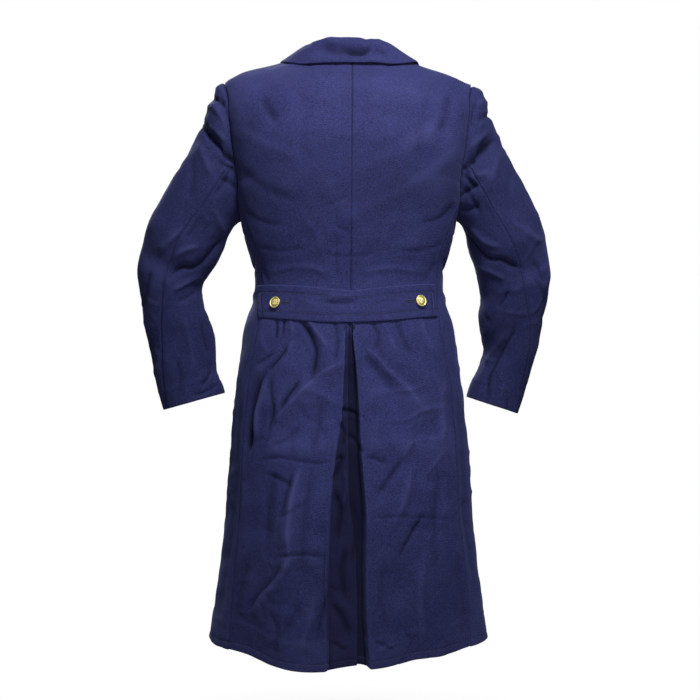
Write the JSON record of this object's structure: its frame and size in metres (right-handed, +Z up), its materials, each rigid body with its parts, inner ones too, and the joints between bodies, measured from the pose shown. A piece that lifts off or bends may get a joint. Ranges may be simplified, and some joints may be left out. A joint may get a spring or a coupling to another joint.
{
  "type": "greatcoat",
  "caption": "Knee-length navy wool greatcoat filled out as if worn: turned-down collar, wide lapels, half belt, gilt buttons and an open centre back vent.",
  "frame": {"origin": "middle of the neck opening at the height of the neck seam, where the wearer's neck and shoulders carry the coat", "axes": "+Z up along the body, +Y out of the coat's back, +X towards the wearer's left"},
  "size_m": [0.8015, 0.4005, 1.1562],
  "materials": {
    "wool": "matt heavy navy wool with a fine diagonal twill and a short nap",
    "belting": "matt heavy navy wool, topstitched at the edges",
    "gilt": "polished pale gilt"
  },
  "bodies": {
    "root": {"back_left": "wool", "back_right": "wool", "front_left": "wool", "front_right": "wool", "collar": "wool", "back_belt": "belting", "lapel_left": "wool", "lapel_right": "wool", "sleeve_left_top": "wool", "sleeve_left_under": "wool", "sleeve_right_top": "wool", "sleeve_right_under": "wool", "belt_button_left": "gilt", "belt_button_right": "gilt", "front_button_left_1": "gilt", "front_button_right_1": "gilt", "front_button_left_2": "gilt", "front_button_right_2": "gilt", "front_button_left_3": "gilt", "front_button_right_3": "gilt", "front_button_left_4": "gilt", "front_button_right_4": "gilt"}
  },
  "joints": []
}
